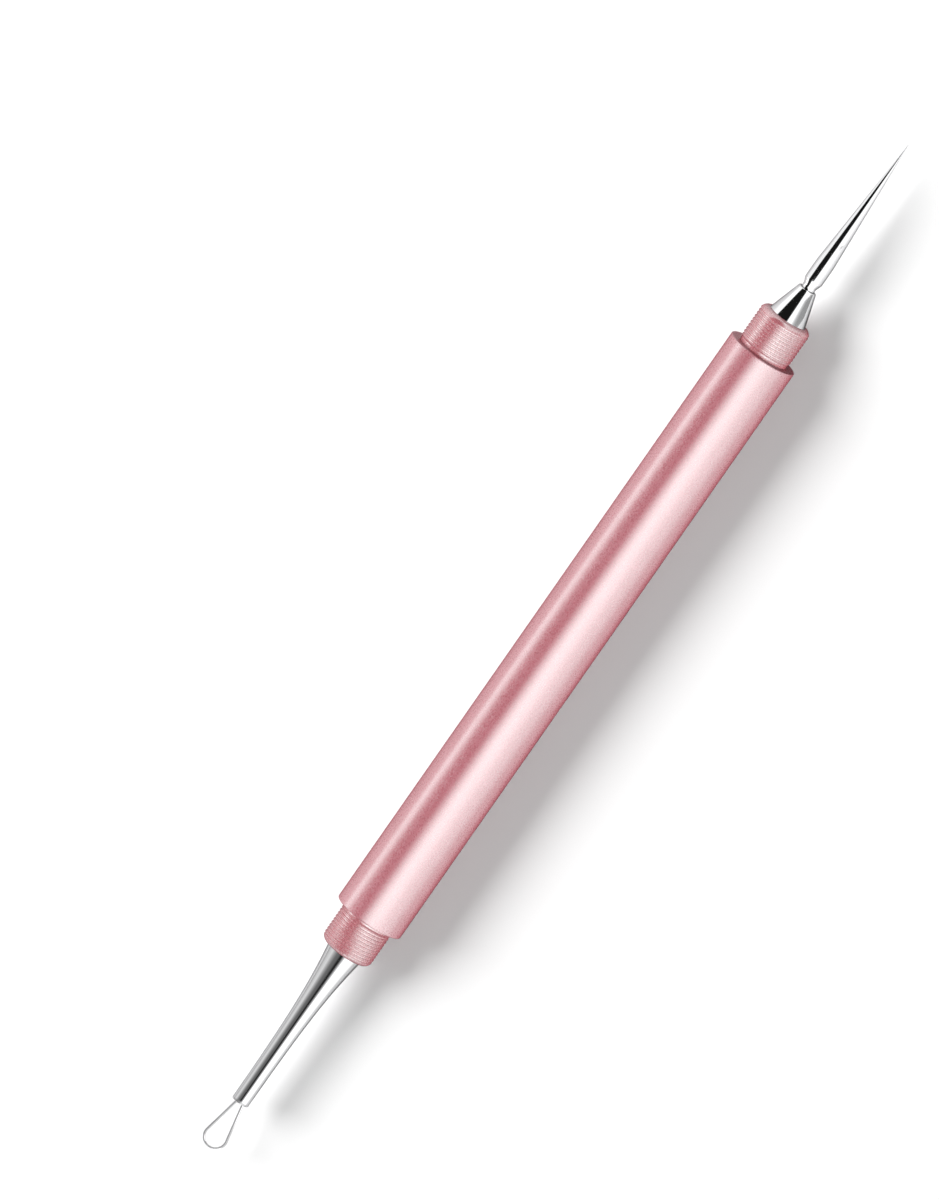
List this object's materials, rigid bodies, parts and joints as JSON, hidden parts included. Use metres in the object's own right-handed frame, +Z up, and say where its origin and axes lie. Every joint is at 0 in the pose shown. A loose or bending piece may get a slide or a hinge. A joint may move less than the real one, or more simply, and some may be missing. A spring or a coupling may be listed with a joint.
{
  "type": "double-ended blackhead extractor",
  "caption": "Slim double-ended skin-care pen: a pointed steel lancet on one end and a steel wire loop on the other, each under its own screw cap.",
  "frame": {"origin": "middle of the barrel's length, on the barrel's axis", "axes": "+X along the pen towards the needle, +Z up from the surface that the pen lies on, +Y completes the right-handed frame"},
  "size_m": [0.2203, 0.008, 0.008],
  "materials": {
    "anodised_barrel": "satin pearl-pink anodised aluminium",
    "anodised_thread": "satin pink anodised aluminium with a cut thread",
    "anodised_cap": "satin pearl-pink anodised aluminium",
    "cap_thread": "bare turned aluminium",
    "cap_end": "satin pink anodised aluminium disc",
    "polished_ferrule": "mirror-polished stainless steel",
    "polished_lancet": "mirror-polished, ground stainless steel",
    "loop_wire": "polished stainless steel wire, finely notched at its far end",
    "braze": "silver braze"
  },
  "bodies": {
    "barrel": {"barrel_tube": "anodised_barrel", "needle_collar": "anodised_thread", "needle_ferrule": "polished_ferrule", "lancet_needle": "polished_lancet", "loop_collar": "anodised_thread", "loop_ferrule": "polished_ferrule", "loop_braze": "braze", "wire_loop": "loop_wire"},
    "needle_cap_end": {"needle_cap_plug": "cap_end"},
    "needle_cap": {"needle_cap_shell": "anodised_cap", "needle_cap_liner": "cap_thread"},
    "loop_cap_end": {"loop_cap_plug": "cap_end"},
    "loop_cap": {"loop_cap_shell": "anodised_cap", "loop_cap_liner": "cap_thread"}
  },
  "joints": [
    {"name": "needle_cap_travel", "type": "slide", "parent": "barrel", "child": "needle_cap_end", "axis": [-1, 0, 0], "range_m": [0, 0.042]},
    {"name": "needle_cap_turn", "type": "hinge", "parent": "needle_cap_end", "child": "needle_cap", "pos_m": [0.0941, 0, 0], "axis": [-1, 0, 0], "range_deg": [0, 37800]},
    {"name": "loop_cap_travel", "type": "slide", "parent": "barrel", "child": "loop_cap_end", "axis": [1, 0, 0], "range_m": [0, 0.042]},
    {"name": "loop_cap_turn", "type": "hinge", "parent": "loop_cap_end", "child": "loop_cap", "pos_m": [-0.09563, 0, 0], "axis": [1, 0, 0], "range_deg": [0, 37800]}
  ],
  "couplings": [
    {"joint": "needle_cap_turn", "follows": "needle_cap_travel", "rad_per_m": 15708},
    {"joint": "loop_cap_turn", "follows": "loop_cap_travel", "rad_per_m": 15708}
  ]
}
